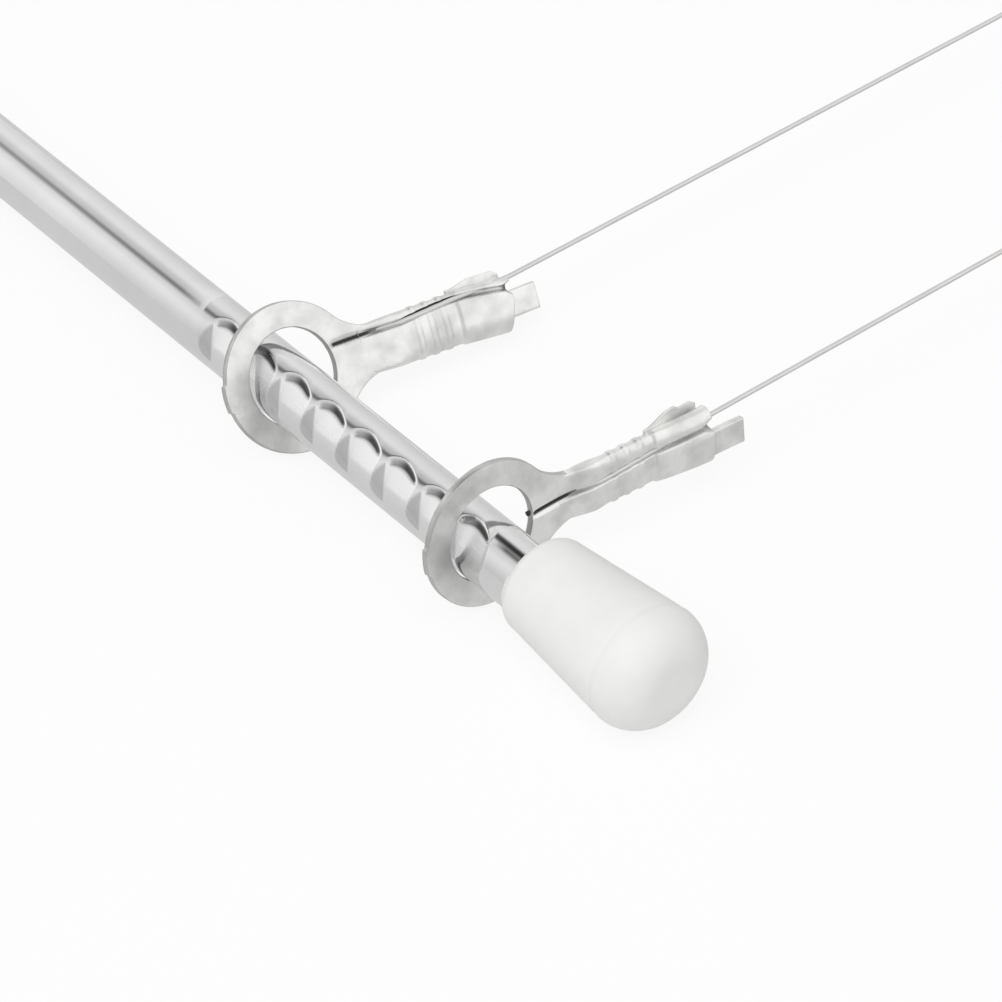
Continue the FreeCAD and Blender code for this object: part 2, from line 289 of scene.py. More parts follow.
class WireSizes(bpy.types.PropertyGroup):
    """The two cutting wires."""

    diameter: length("Diameter", "Of the wire", 0.6 * MM)
    overhang: length("Overhang", "Cut end past the edge of the ring's hole", 0.2 * MM)
    sink: length("Sink", "How far the wire is pressed into the lug's neck", 1.05 * MM)
    bend: length("Bend", "Length over which the wire bends where it leaves the lug", 1.2 * MM)
    upper: PointerProperty(name="Upper wire", description="How the upper wire's lugs hang", type=WireSeat)
    lower: PointerProperty(name="Lower wire", description="How the lower wire's lugs hang", type=WireSeat)


class FinishColours(bpy.types.PropertyGroup):
    """Colours of the finishes."""

    polish: colour("Polished tube", "Reflection of the polished tube", (0.86, 0.86, 0.865))
    tin: colour("Tinned sheet", "Reflection of the lugs' tinned sheet", (0.93, 0.93, 0.915))
    tin_dark: colour("Tinned sheet, dull", "Dull patches on the lugs", (0.70, 0.70, 0.69))
    drawn: colour("Drawn wire", "Reflection of the cutting wires", (0.80, 0.80, 0.80))
    rubber: colour("Rubber", "The feet", (0.86, 0.86, 0.845))
    rubber_dark: colour("Rubber, dull", "Faint mottling of the feet", (0.825, 0.825, 0.81))
    # Dark colour of the painted shade in the notches, the lugs' creases, seams and hollows and by the leg,
    # of the dark streak by the foot, and of the wires' dark cut ends
    soot: colour("Dirt", "In the lugs' seams, the notches and the wires' cut ends", (0.05, 0.05, 0.05))


class StageSettings(bpy.types.PropertyGroup):
    """Camera, floor and light."""

    eye: point("Eye", "Place of the camera", (-0.4050, -0.38668, 0.37564))
    azimuth: angle("Azimuth", "Turn of the camera about the upright", -37.844)
    elevation: angle("Elevation", "How far the camera looks down", 41.398)
    roll: angle("Roll", "Turn of the camera about its own line of sight", -1.895)
    focal_pixels: amount("Focal length", "In pixels of the photograph", 5020.2)
    floor_side: length("Floor", "Side of the floor", 6)
    ambient: share("Ambient", "Soft light from all round", 0.55)
    key_power: amount("Key light", "Power of the soft key light", 18, unit="POWER")
    key_side: length("Key light's side", "Side of the square lamp", 1.4)
    key_place: point("Key light's place", "Place of the lamp", (-0.9, -0.4, 1.6))
    whiteness: share("Whiteness", "Plain white in the floor as the camera and gloss see it", 0.88)
    floor_gloss: share("Floor in gloss", "Brightness of that white as gloss shows it", 0.66)


class Shell:
    """Closed surface over rings of points: quads between the rings and a pole at each end.

    When closed is set, the last ring is joined to the first instead, and there are no poles.
    The faces are turned so that the enclosed volume is positive, which points them outwards.
    """

    def __init__(self, rings, closed=False, dirt_and_shade=None, wear=None):
        rows, columns = rings.shape[:2]
        loop = np.concatenate([rings, rings[:1]]) if closed else rings
        steps = np.linalg.norm(np.diff(loop, axis=0), axis=2).mean(axis=1)
        along = np.concatenate([[0], np.cumsum(steps)])
        wrapped = np.concatenate([rings, rings[:, :1]], axis=1)
        arcs = np.linalg.norm(np.diff(wrapped, axis=1), axis=2).mean(axis=0)
        around = np.concatenate([[0], np.cumsum(arcs)])
        i, j = np.meshgrid(np.arange(len(loop) - 1), np.arange(columns), indexing="ij")
        row = np.stack([i, i, i + 1, i + 1], axis=-1).reshape(-1, 4)
        column = np.stack([j, j + 1, j + 1, j], axis=-1).reshape(-1, 4)
        self.points = rings.reshape(-1, 3)
        self.marks = {"dirt_and_shade": dirt_and_shade, "wear": wear}
        for name, values in self.marks.items():
            self.marks[name] = np.zeros(rows * columns) if values is None else values.reshape(-1)
        self.quads = (row % rows) * columns + column % columns
        self.quad_uv = np.stack([along[row], around[column]], axis=-1)
        self.fans = np.zeros((0, 3), int)
        self.fan_uv = np.zeros((0, 3, 2))
        if not closed:
            self.add_poles(rings, along, around)
        if self.volume() < 0:
            self.turn_faces()

    def turn_faces(self):
        """Turn every face over."""
        self.quads = self.quads[:, ::-1]
        self.quad_uv = self.quad_uv[:, ::-1]
        self.fans = self.fans[:, ::-1]
        self.fan_uv = self.fan_uv[:, ::-1]

    def mirror(self):
        """Carry the surface over to the other leg."""
        self.points = self.points * MIRROR
        self.turn_faces()

    def add_poles(self, rings, along, around):
        """Close both ends with a fan of triangles to the middle of the end ring."""
        rows, columns = rings.shape[:2]
        first = np.arange(columns)
        after = (first + 1) % columns
        last_row = (rows - 1) * columns
        start_pole = np.full(columns, rows * columns)
        self.points = np.concatenate([self.points, rings[[0, -1]].mean(axis=1)])
        for name, values in self.marks.items():
            self.marks[name] = np.concatenate([values, values[[0, last_row]]])
        start_fan = np.stack([start_pole, after, first], axis=1)
        end_fan = np.stack([start_pole + 1, last_row + first, last_row + after], axis=1)
        self.fans = np.concatenate([start_fan, end_fan])
        starts = np.stack([np.full(columns, along[0]), around[:-1]], axis=1)
        ends = np.stack([np.full(columns, along[-1]), around[:-1]], axis=1)
        self.fan_uv = np.repeat(np.concatenate([starts, ends])[:, None, :], 3, axis=1)

    def triangles(self):
        """All faces as triangles."""
        return np.concatenate([self.quads[:, [0, 1, 2]], self.quads[:, [0, 2, 3]], self.fans])

    def volume(self):
        """Enclosed volume: the sum of the tetrahedra from each triangle to the surface's own middle."""
        corners = (self.points - self.points.mean(axis=0))[self.triangles()]
        return np.einsum("ij,ij->i", corners[:, 0], np.cross(corners[:, 1], corners[:, 2])).sum() / 6


def put_piece(name, shells, material, node, body):
    """Make one object of the shells, standing for a node of the frame and riding on its body."""
    mesh = bpy.data.meshes.new(name)
    starts = np.cumsum([0] + [len(shell.points) for shell in shells])
    faces = []
    for shell, start in zip(shells, starts):
        faces += (shell.quads + start).tolist() + (shell.fans + start).tolist()
    mesh.from_pydata(np.concatenate([shell.points for shell in shells]), [], faces)
    uv = [part.reshape(-1, 2) for shell in shells for part in (shell.quad_uv, shell.fan_uv)]
    mesh.uv_layers.new(name="Surface").data.foreach_set("uv", np.concatenate(uv).astype(np.float32).ravel())
    for kind in ("dirt_and_shade", "wear"):
        values = np.concatenate([shell.marks[kind] for shell in shells])
        mesh.attributes.new(kind, "FLOAT", "POINT").data.foreach_set("value", values.astype(np.float32))
    mesh.polygons.foreach_set("use_smooth", np.ones(len(mesh.polygons), bool))
    mesh.update()
    if mesh.validate():
        raise RuntimeError(name + " has broken faces")
    piece = bpy.data.objects.new(name, mesh)
    bpy.context.scene.collection.objects.link(piece)
    mesh.materials.append(material)
    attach(piece, body)
    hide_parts(node)


def smooth_step(value, low, high):
    """0 at low and 1 at high, held past both, with a smooth climb between."""
    part = np.clip((value - low) / (high - low), 0, 1)
    return part * part * (3 - 2 * part)


def window(value, rise, fall):
    """1 between two smooth steps and 0 outside. Each step is given from its outer to its inner end."""
    return smooth_step(value, *rise) * smooth_step(value, *fall)


def mix(first, second, part):
    """From first at 0 to second at 1."""
    return first + (second - first) * part


def round_box(half_width, half_height, squareness, turn):
    """Superellipse: an oval at squareness 2, nearing a rectangle as squareness grows."""
    reach = (np.abs(np.cos(turn)) ** squareness + np.abs(np.sin(turn)) ** squareness) ** (-1 / squareness)
    return half_width * reach * np.cos(turn), half_height * reach * np.sin(turn)


def full_turn(count):
    """Angles once round, without the last one that meets the first."""
    return np.linspace(0, 2 * np.pi, count, endpoint=False)


# Bow

def notch_zone(bow):
    """Places along the leg between which the notches lie."""
    first = SOLE_Y + bow.notch_start
    last = first + (bow.notch_count - 1) * bow.notch_pitch
    return first - bow.notch_ramp - MM, last + bow.notch_steep + MM


def bow_stations(bow):
    """Distances along the bow's centre line: close together in the notches and bends, wide elsewhere."""
    leg = TOP_Y - bow.corner_radius - TUBE_END_Y
    bend = bow.corner_radius * np.pi / 2
    top = 2 * (LEG_X - bow.corner_radius)
    first, last = notch_zone(bow)
    half = np.concatenate([
        np.linspace(0, first - TUBE_END_Y, LEG_STEPS),
        np.linspace(first, last, NOTCH_STEPS * bow.notch_count) - TUBE_END_Y,
        np.linspace(last - TUBE_END_Y, leg, LEG_STEPS),
        leg + np.linspace(0, bend, BEND_STEPS),
        leg + bend + np.linspace(0, top / 2, TOP_STEPS),
    ])
    whole = 2 * (leg + bend) + top
    decimals = 9
    return np.unique(np.concatenate([half, whole - half]).round(decimals)), leg, bend, top


def bow_line(bow):
    """Points and outward directions along the bow: leg, quarter bend, top, quarter bend and leg."""
    distance, leg, bend, top = bow_stations(bow)
    radius = bow.corner_radius
    turn_in = np.clip((distance - leg) / radius, 0, np.pi / 2)
    turn_out = np.clip((distance - leg - bend - top) / radius, 0, np.pi / 2)
    x = (-LEG_X + radius * (1 - np.cos(turn_in)) + np.clip(distance - leg - bend, 0, top)
         + radius * np.sin(turn_out))
    y = (TUBE_END_Y + np.clip(distance, 0, leg) + radius * np.sin(turn_in)
         - radius * (1 - np.cos(turn_out)) - np.clip(distance - leg - 2 * bend - top, 0, leg))
    turn = turn_in + turn_out
    points = np.stack([x, y, np.full_like(x, LEG_Z)], axis=1)
    outwards = np.stack([-np.cos(turn), np.sin(turn), np.zeros_like(x)], axis=1)
    return points, outwards


def notch_groove(bow, ramp, spread, past):
    """Groove under the ramp's upper edge, from 0 to 1. Past is the turn beyond that edge.

    Its lower flank is measured in the groove's own width, which goes with the root of the edge's spread.
    Along the ramp it fades out near both ends.
    """
    least_width = 0.01
    flank = (-1.2, -0.7)
    edge = (0.01, -0.05)
    start = (0.01, 0.1)
    stop = (0.97, 0.8)
    width = bow.lip_width * np.sqrt(spread) + least_width
    return smooth_step(past / width, *flank) * smooth_step(past, *edge) * window(ramp, start, stop)


def notch_wall(bow, gap, turn):
    """One pressed notch: the tube's radius in it, and the painted shade and roughness at each point.

    The gap is the place along the leg past the line where the two walls meet: the steep wall lies above 0
    and the ramp below. At each place the wall is an arc across the tube, through the notch's two edges
    and its middle. The edges spread along the ramp and close up at both ends, and a groove runs under
    the ramp's upper edge. Wall and tube are softly joined.
    """
    nearly_all = 0.999
    arch_lead = 0.8
    lower_arch = 0.3
    full_round = 0.2 * MM
    full_cut = 0.1 * MM
    # Painted shade: light on the steep wall, darker in the groove under the ramp's upper edge and further
    # along the ramp
    steep_shade = 0.3
    groove_shade = (0.6, 0.98)
    groove_darkens = (0.15, 0.5)
    steep_haze = 0.2
    hazy_turns = (-0.5, 0.3)
    ramp = np.clip(-gap / bow.notch_ramp, 0, nearly_all)
    steep = np.clip(gap / bow.notch_steep, 0, nearly_all)
    spread = np.sin(np.pi * ramp ** arch_lead)
    upper = bow.notch_edge + bow.notch_arch * spread
    lower = -bow.notch_edge * (1 - ramp ** 2) - lower_arch * bow.notch_arch * spread
    half = (upper - lower) / 2 * np.sqrt(1 - steep)
    middle = (upper + lower) / 2 - bow.notch_tip * steep
    height = TUBE_RADIUS - bow.notch_depth * (1 - steep) * (1 - ramp ** bow.notch_fullness)
    drop = height - TUBE_RADIUS * np.cos(half)
    crown = (drop ** 2 + (TUBE_RADIUS * np.sin(half)) ** 2) / (2 * drop)
    centre = height - crown
    wall = centre * np.cos(turn - middle) + np.sqrt(crown ** 2 - (centre * np.sin(turn - middle)) ** 2)
    soft = bow.edge_round * np.clip((TUBE_RADIUS - height) / full_round, 0, 1)
    radius = (TUBE_RADIUS + wall) / 2 - np.sqrt(((TUBE_RADIUS - wall) / 2) ** 2 + soft ** 2)
    groove = notch_groove(bow, ramp, spread, turn - upper)
    cut = smooth_step(wall, TUBE_RADIUS, TUBE_RADIUS - full_cut)
    ramp_shade = groove * mix(*groove_shade, smooth_step(ramp, *groove_darkens))
    dirt_and_shade = np.where(gap > 0, steep_shade * cut, ramp_shade)
    haze = bow.notch_haze * cut * np.where(gap > 0, steep_haze, smooth_step(turn, *hazy_turns))
    outside = (gap > bow.notch_steep) | (gap < -bow.notch_ramp)
    radius = np.where(outside, TUBE_RADIUS, radius - bow.lip_depth * groove)
    return radius, np.where(outside, 0, dirt_and_shade), np.where(outside, 0, haze)


def bow_shell(bow):
    """Tube round the bow's line with the notches pressed in: at each point the deepest notch counts.

    The points round the tube crowd together on the notched side, by a sine. Where the notches are, each
    ring is sheared along the leg so that the notches lie skew.
    """
    crowding = 0.5
    streak_fade = 0.5 * MM
    rubbed_from = (0.5, 0.7)
    rubbed_to = (2.2, 1.9)
    points, outwards = bow_line(bow)
    place = points[:, 1]
    turn = full_turn(TUBE_POINTS) - np.pi
    turn = turn - crowding * np.sin(turn)
    radius = np.full((len(points), len(turn)), TUBE_RADIUS)
    from_sole = (place - SOLE_Y)[:, None]
    # Short dark streak painted on the tube by the foot
    dark_streak = np.exp(-((turn + bow.notch_lean - bow.scuff_turn) / bow.scuff_width) ** 4)
    streak_end = FOOT_LENGTH + bow.scuff_length
    dirt_and_shade = dark_streak * smooth_step(from_sole, streak_end, streak_end - streak_fade)
    first, last = notch_zone(bow)
    row = window(place, (first - MM, first + MM), (last + MM, last - MM))
    wear = bow.row_haze * row[:, None] * window(turn, rubbed_from, rubbed_to)
    for index in range(bow.notch_count):
        pressed = notch_wall(bow, from_sole - bow.notch_start - index * bow.notch_pitch, turn)
        deeper = pressed[0] < radius
        radius, dirt_and_shade, wear = (np.where(deeper, new, old) for new, old in zip(pressed, (radius, dirt_and_shade, wear)))
    side = np.cos(turn + bow.notch_lean)[None, :, None] * outwards[:, None, :]
    up = np.sin(turn + bow.notch_lean)[None, :, None] * UP
    sheared = window(place, (first - bow.skew_fade, first), (last + bow.skew_fade, last))
    slid = math.tan(bow.notch_skew) * sheared[:, None] * radius * np.sin(turn)
    rings = points[:, None, :] + radius[:, :, None] * (side + up) + slid[:, :, None] * TO_TOP
    return Shell(rings, dirt_and_shade=dirt_and_shade, wear=wear)


# Feet

def foot_shell(foot):
    """Turned cap about its own line, with a socket about the leg's line.

    The outline goes from the sole's middle over a quarter round, up a straight taper, round the back rim,
    in to the mouth and down the socket. Its centre moves over to the leg's line from the back rim inwards.
    """
    pole = 0.02
    dome = FOOT_RADIUS - foot.flat_radius
    quarter = np.linspace(0, np.pi / 2, QUARTER_STEPS)
    mouth_arc = quarter[::QUARTER_STEPS // MOUTH_STEPS]
    taper = np.linspace(0, 1, TAPER_STEPS + 2)[1:-1]
    face = np.linspace(0, 1, FACE_STEPS + 2)[1:-1]
    whole = FOOT_LENGTH + foot.reach
    back_turn = whole - foot.back_round
    mouth = TUBE_RADIUS + foot.lip
    rim = foot.back_radius - foot.back_round
    depth = TUBE_END_Y - SOLE_Y
    radius = np.concatenate([
        np.linspace(pole, 1, SOLE_STEPS + 1)[:-1] * foot.flat_radius,
        foot.flat_radius + dome * np.sin(quarter),
        mix(FOOT_RADIUS, foot.back_radius, taper),
        rim + foot.back_round * np.cos(quarter),
        mix(rim, mouth, face),
        TUBE_RADIUS + foot.lip * (1 - np.sin(mouth_arc)),
        [TUBE_RADIUS, TUBE_RADIUS / 2],
    ])
    height = np.concatenate([
        np.zeros(SOLE_STEPS),
        dome * (1 - np.cos(quarter)),
        mix(dome, back_turn, taper),
        back_turn + foot.back_round * np.sin(quarter),
        np.full(FACE_STEPS, whole),
        whole - foot.lip * (1 - np.cos(mouth_arc)),
        [depth, depth],
    ])
    outer = SOLE_STEPS + QUARTER_STEPS + TAPER_STEPS + QUARTER_STEPS
    moved = np.concatenate([np.zeros(outer), face, np.ones(len(radius) - outer - FACE_STEPS)])
    crease = np.exp(-((height - dome - foot.crease_place) / foot.crease_width) ** 2)
    radius = radius - foot.crease_depth * crease * (radius > mouth)
    middle = mix(FOOT_X, -LEG_X, moved)
    turn = full_turn(FOOT_POINTS)
    x = middle[:, None] + radius[:, None] * np.cos(turn)
    z = LEG_Z + radius[:, None] * np.sin(turn)
    y = np.repeat((SOLE_Y + height)[:, None], len(turn), axis=1)
    return Shell(np.stack([x, y, z], axis=-1))


# Lugs

class LugPlan:
    """Lengths along one lug, worked out from its sizes. Local X runs from the ring to the tail."""

    def __init__(self, lug, seat):
        self.lug = lug
        self.seat = seat
        self.ring = lug.hole / 2 + lug.band
        reach = self.ring + lug.neck_round
        self.neck_end = math.sqrt(reach ** 2 - (lug.neck_width / 2 + lug.neck_round) ** 2)
        self.crimp_start = self.neck_end + lug.throat
        self.wing_start = self.crimp_start + lug.crimp_length
        self.tail = self.wing_start + lug.wing_length

    def seam_height(self, x):
        """Height of the seam above the lug's middle: level at first, then climbing in a bow to the tail."""
        start = self.seat.seam_rise
        climb = np.clip((x - start) / (self.tail - start), 0, 1)
        return mix(self.seat.seam, self.lug.tail_seam, climb) + self.seat.seam_bow * np.sin(np.pi * climb)


def plate_outline(plan, turn):
    """Distance of the outline from the ring's middle.

    It is the ring's circle, the hollow flanks' circles and the neck's square end, with a stub that stands
    out of the ring opposite the neck.
    """
    lug = plan.lug
    stub_fade = 0.08 * MM
    least_cosine = 0.1
    flank = np.array([plan.neck_end, lug.neck_width / 2 + lug.neck_round])
    towards = flank[0] * np.cos(turn) + flank[1] * np.abs(np.sin(turn))
    inside = np.maximum(towards ** 2 - flank @ flank + lug.neck_round ** 2, 0)
    hollow = towards - np.sqrt(inside)
    end = plan.neck_end / np.maximum(np.cos(turn), least_cosine)
    touch = math.atan2(flank[1], flank[0])
    corner = math.atan2(lug.neck_width / 2, plan.neck_end)
    outline = np.where(np.abs(turn) < touch, hollow, plan.ring)
    outline = np.where(np.abs(turn) < corner, end, outline)
    past_stub = plan.ring * np.abs(np.sin(turn)) - lug.stub_width / 2
    stub = smooth_step(past_stub, stub_fade, -stub_fade)
    return outline + lug.stub_rise * stub * (np.cos(turn) < 0)


def plate_shell(plan):
    """Flat ring and neck: a thin section with rounded edges, carried round from the hole to the outline.

    The sections crowd together at the neck, by a sine. The neck is creased along the seam, deepest near
    the hole, with painted shade in the crease. The ring's outer end has painted shade by the leg, strongest
    at the hole.
    """
    lug = plan.lug
    crowding = 0.8
    edge_turns = (18, 45, 72)
    crease_climb = (-0.3 * MM, 0.8 * MM)
    crease_full = 3 * MM
    crease_loss = 0.5
    shaded_crease = (0.5, 0.9)
    shaded_depth = (0.1 * MM, 0.3 * MM)
    rim_dirt = 0.35
    hole_dirt = 0.5
    leg_shade_loss = 0.75
    turn = full_turn(RING_STEPS) - np.pi
    turn = turn - crowding * np.sin(turn)
    outline = plate_outline(plan, turn)[:, None]
    half = lug.sheet / 2
    across = np.linspace(0, 1, BAND_STEPS)
    flat = np.full(BAND_STEPS, half)
    arc = np.radians(edge_turns)
    ahead = lug.edge_round * (1 - 2 * across)
    sine = lug.edge_round * (1 - np.sin(arc))
    cosine = lug.edge_round * (1 - np.cos(arc))
    rim = np.ones(2 * len(arc))
    part = np.concatenate([across, rim, across[::-1], 0 * rim])
    inset = np.concatenate([ahead, -sine, -cosine, ahead[::-1], sine, cosine])
    level = np.concatenate([flat, half - cosine, sine - half, -flat, cosine - half, half - sine])
    distance = lug.hole / 2 + part * (outline - lug.hole / 2) + inset
    x = distance * np.cos(turn)[:, None]
    y = distance * np.sin(turn)[:, None]
    from_hole = x - lug.hole / 2
    depth = lug.crease_depth * smooth_step(from_hole, *crease_climb)
    depth = depth * (1 - crease_loss * smooth_step(from_hole, crease_full, plan.neck_end - lug.hole / 2))
    crease = np.exp(-((y - plan.seam_height(x)) / lug.crease_width) ** 2)
    z = np.broadcast_to(level, x.shape) - depth * crease
    cut_edge = np.concatenate([0 * across, rim_dirt * rim, 0 * across, hole_dirt * rim])
    # Painted shade in the crease, where the wire lies in it
    seam = smooth_step(crease, *shaded_crease) * smooth_step(depth, *shaded_depth)
    # Painted shade on the ring's face next to the leg, fading out from the hole
    from_leg_shade = np.angle(np.exp(1j * (turn - np.pi - lug.rub_turn)))[:, None]
    rub = lug.rub * np.exp(-(from_leg_shade / lug.rub_width) ** 2) * (1 - leg_shade_loss * part)
    dirt_and_shade = np.maximum(np.maximum(seam, cut_edge), rub)
    return Shell(np.stack([x, y, z], axis=-1), closed=True, dirt_and_shade=dirt_and_shade)


def barrel_shell(plan):
    """Rolled barrel: ovals carried along the lug from the flat neck over the crimp to the open tail.

    A furrow along the seam presses the top of each oval in, wide and shallow with a narrow, deep middle.
    At the tail the skin turns in over the wall's thickness and lines the hollow. Painted shade darkens the
    seam and the lining.
    """
    lug = plan.lug
    hollow_start = 0.25
    tail_bulge = 0.06 * MM
    step_climb = (-0.2 * MM, 0.3 * MM)
    rib_sharpness = 0.45
    neck_flank = 0.12 * MM
    neck_half = 0.49 * lug.sheet
    neck_square, crimp_square, tail_square = 8, 2.7, 2.2
    dish, dish_width = 0.14, 0.9 * MM
    furrow_depths = (0.39 * MM, 0.75 * MM, 1.5 * MM)
    furrow_widths = (0.4 * MM, 0.3 * MM, 0.6 * MM)
    shade_widths = (0.3 * MM, 0.55 * MM)
    end_length = 1.2 * MM
    hollow_shade = 0.6
    start = plan.neck_end - lug.throat
    hollow_end = plan.wing_start + hollow_start * lug.wing_length
    skin, lining = np.zeros(BARREL_STEPS), np.ones(LINING_STEPS)
    x = np.concatenate([np.linspace(start, plan.tail, BARREL_STEPS), [plan.tail],
                        np.linspace(plan.tail, hollow_end, LINING_STEPS)])
    inset = np.concatenate([skin, [lug.wall / 2], lug.wall * lining])
    bulge = tail_bulge * np.concatenate([skin, [1], 0 * lining])
    grown = smooth_step(x, start, plan.crimp_start)
    opened = np.clip((x - plan.wing_start) / lug.wing_length, 0, 1)
    spots = plan.crimp_start + lug.crimp_length * np.arange(1, lug.rib_count + 1) / (lug.rib_count + 1)
    from_rib = (x[:, None] - spots) / (rib_sharpness * lug.rib_width)
    rib = lug.rib_rise * np.exp(-from_rib ** 4).sum(axis=1)
    step = lug.wing_step * smooth_step(x - plan.wing_start, *step_climb)
    width = mix(lug.neck_width / 2 + neck_flank, lug.crimp_width / 2, grown)
    width = mix(width, lug.wing_width / 2 - step, opened) + step + rib
    height = mix(neck_half, lug.crimp_height / 2, grown)
    height = mix(height, lug.wing_height / 2 - step, opened) + step + rib
    middle = mix(height - neck_half, (lug.wing_height - lug.sheet) / 2, opened) - rib - step / 2
    rounded = smooth_step(x, plan.neck_end, plan.crimp_start + MM)
    squareness = mix(mix(neck_square, crimp_square, rounded), tail_square, opened)
    turn = full_turn(BARREL_POINTS)
    half_width, half_height = (width - inset)[:, None], (height - inset)[:, None]
    y, z = round_box(half_width, half_height, squareness[:, None], turn[None, :])
    y = np.where(y > 0, y * (1 - plan.seat.trim * opened / width)[:, None], y)
    from_seam = y - plan.seam_height(x)[:, None]
    top = np.sqrt(np.clip(z / height[:, None], 0, 1))
    end = smooth_step(x - plan.tail, -end_length, 0)[:, None]

    def along_seam(neck, crimp, tail):
        """A value that goes along the seam from the neck's over the crimp's to the tail's."""
        return mix(mix(neck, crimp, grown)[:, None], tail, end)

    wide = dish * (grown * height)[:, None] * np.exp(-(from_seam / dish_width) ** 2)
    narrow = along_seam(*furrow_depths) * np.exp(-(from_seam / along_seam(*furrow_widths)) ** 4)
    z = z + middle[:, None] - top * (wide + narrow)
    # Painted shade along the seam's furrow, full at the neck and the tail, and in the hollow's lining
    seam_shade_band = np.exp(-(from_seam / mix(*shade_widths, end)) ** 4)
    dirt_and_shade = along_seam(1, lug.seam_dirt, 1) * top * seam_shade_band
    dirt_and_shade = np.where(inset[:, None] > 0, np.maximum(dirt_and_shade, hollow_shade), dirt_and_shade)
    slant = plan.seat.slant * opened[:, None] * np.clip(0.5 - y / lug.wing_width, 0, 1)
    return Shell(np.stack([(x + bulge)[:, None] - slant, y, z], axis=-1), dirt_and_shade=dirt_and_shade)


def strip_shell(x, middle_y, half_width, middle_z, half_height, squareness):
    """Thin strip along the lug: a rounded rectangle at each place along X."""
    turn = full_turn(STRIP_POINTS)
    y, z = round_box(half_width[:, None], half_height[:, None], squareness, turn[None, :])
    along = np.broadcast_to(x[:, None], y.shape)
    return Shell(np.stack([along, y + middle_y[:, None], z + middle_z[:, None]], axis=-1))


def tab_shell(plan):
    """Cut-off end of the sheet past the barrel: a flat strip that bends up towards its cut by a square."""
    lug, seat = plan.lug, plan.seat
    root = 1.2 * MM
    cut_round = 0.08 * MM
    sway = 0.15 * MM
    bend = 0.25 * MM
    half_sheet = 0.46 * lug.sheet
    squareness = 9
    cut = plan.tail + seat.tab_length
    x = np.append(np.linspace(plan.tail - seat.slant - root, cut - cut_round, TAB_STEPS), cut)
    part = np.clip((x - plan.tail) / seat.tab_length, 0, 1)
    rounded = np.append(np.zeros(TAB_STEPS), cut_round)
    half = lug.tab_width / 2 - rounded
    middle = sway * part - seat.tab_drop
    return strip_shell(x, middle, half, bend * part ** 2, half_sheet - rounded, squareness)


def leaf_shell(plan):
    """Thin torn edge of the sheet that stands up along the top of the open end.

    Its rise climbs by a smooth step, dips by a second one past its middle and falls by a third at its end.
    """
    lug, seat = plan.lug, plan.seat
    overlap = 0.4 * MM
    short_of_tail = 0.6 * MM
    root = 0.8 * MM
    least_rise = 0.35 * MM
    end_fall = 0.5 * MM
    level = 0.1 * MM
    half_sheet = 0.17 * MM
    squareness = 5
    climb, dip, torn = (0.02, 0.5), (0.58, 0.7), (0.9, 1)
    x = np.linspace(plan.wing_start - overlap, plan.tail - short_of_tail, LEAF_STEPS)
    part = np.linspace(0, 1, LEAF_STEPS)
    rise = seat.leaf_rise * smooth_step(part, *climb) - seat.leaf_dip * smooth_step(part, *dip)
    rise = rise + least_rise - end_fall * smooth_step(part, *torn)
    base = mix(lug.crimp_width / 2, lug.wing_width / 2 - seat.trim, part) - root
    half = (rise + root) / 2
    middle = np.full_like(x, level)
    return strip_shell(x, base + half, half, middle, np.full_like(x, half_sheet), squareness)


def lug_place(seat):
    """Place of the left ring, and its lug's directions: along it, up in its plane and out of its face."""
    sin_hang, cos_hang = math.sin(seat.hang), math.cos(seat.hang)
    sin_lean, cos_lean = math.sin(seat.lean), math.cos(seat.lean)
    place = np.array([-LEG_X + seat.pull, seat.ring_y, LEG_Z + seat.lift])
    turned = np.array([
        [cos_hang, -sin_hang * sin_lean, -sin_hang * cos_lean],
        [sin_hang, cos_hang * sin_lean, cos_hang * cos_lean],
        [0, -cos_lean, sin_lean],
    ])
    return place, turned


def set_shell(shell, seat, side):
    """The shell on its ring's place, on the left leg for side -1 or mirrored to the right for side 1."""
    place, turned = lug_place(seat)
    shell.points = shell.points @ turned + place
    if side > 0:
        shell.mirror()
    return shell


# Wires

def bent_line(corners, bend):
    """Polyline whose corners are eased by parabolas that start and end half the bend's length away."""
    part = np.linspace(0, 1, EASE_STEPS)[:, None]
    line = [corners[:1]]
    for before, corner, after in zip(corners[:-2], corners[1:-1], corners[2:]):
        start = corner + (before - corner) * min(1, bend / np.linalg.norm(before - corner)) / 2
        end = corner + (after - corner) * min(1, bend / np.linalg.norm(after - corner)) / 2
        line.append((1 - part) ** 2 * start + 2 * part * (1 - part) * corner + part ** 2 * end)
    line.append(corners[-1:])
    return np.concatenate(line)


